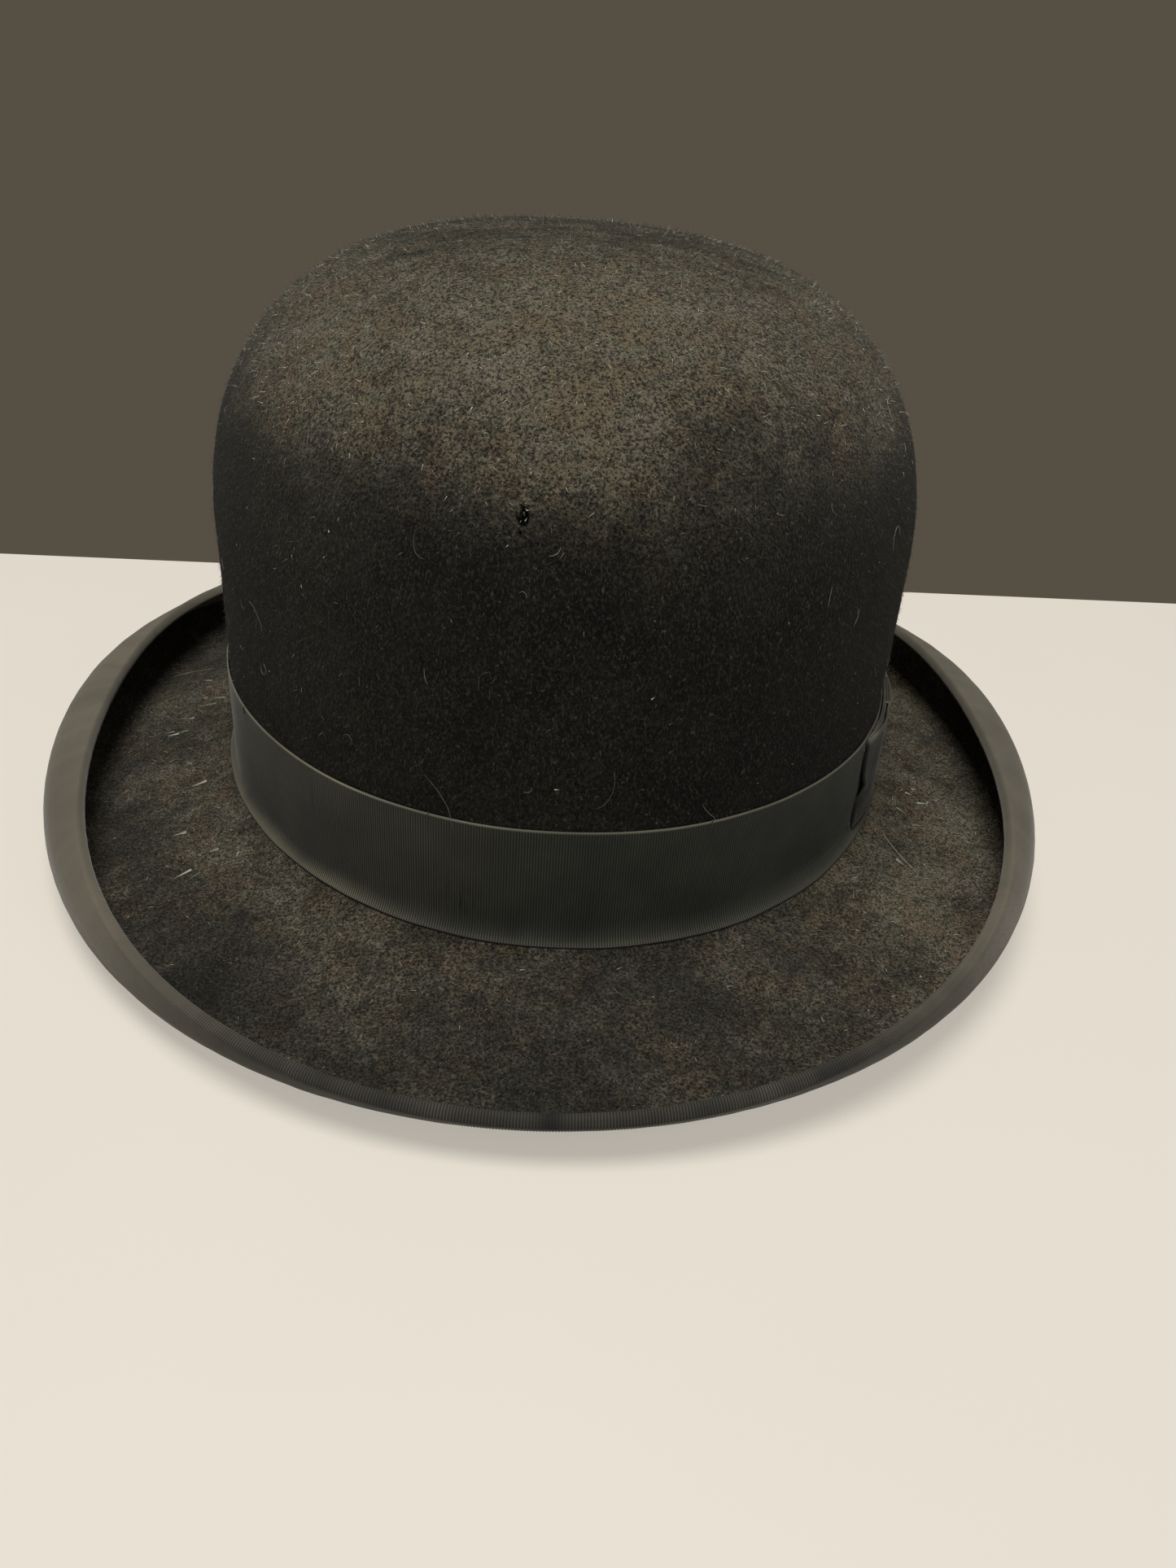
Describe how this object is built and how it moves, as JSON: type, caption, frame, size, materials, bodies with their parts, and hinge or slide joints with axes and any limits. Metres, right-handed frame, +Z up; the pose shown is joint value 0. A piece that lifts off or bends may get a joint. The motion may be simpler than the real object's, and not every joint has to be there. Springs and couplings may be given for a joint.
{
  "type": "bowler hat",
  "caption": "Black fur-felt bowler hat with a round hard crown, curled brim, grosgrain band with a flat side bow, bound edge, leather sweatband and satin lining.",
  "frame": {"origin": "centre of the head opening, level with the line where the crown breaks into the brim", "axes": "+Z up through the crown, -Y towards the front of the hat, +X towards the wearer's left, where the bow is"},
  "size_m": [0.2594, 0.2982, 0.144],
  "materials": {
    "felt": "matt fur felt with a fine nap, worn and dusty",
    "grosgrain": "ribbed grosgrain ribbon, low sheen",
    "binding": "ribbed grosgrain ribbon, faded grey-brown",
    "thread": "twisted cotton sewing thread",
    "leather": "smooth tan leather, darkened by wear",
    "pale_thread": "twisted linen sewing thread",
    "reed": "pale springy cord",
    "oilcloth": "black oilcloth tape, slight gloss",
    "satin": "dark red satin with a soft sheen",
    "inner_ribbon": "narrow black ribbon"
  },
  "bodies": {
    "root": {"felt_body": "felt", "brim_binding": "binding", "binding_stitches": "thread", "hat_band": "grosgrain", "band_tacks": "thread", "bow_backing": "grosgrain", "bow_front_loop": "grosgrain", "bow_rear_loop": "grosgrain", "bow_knot": "grosgrain", "bow_tacks": "thread", "sweatband": "leather", "sweatband_reed": "reed", "reed_tape": "oilcloth", "sweatband_stitches": "pale_thread", "sweatband_seam_stitches": "pale_thread", "sweatband_bow": "inner_ribbon", "lining_side": "satin", "lining_tip": "satin", "lining_piping": "satin"}
  },
  "joints": []
}
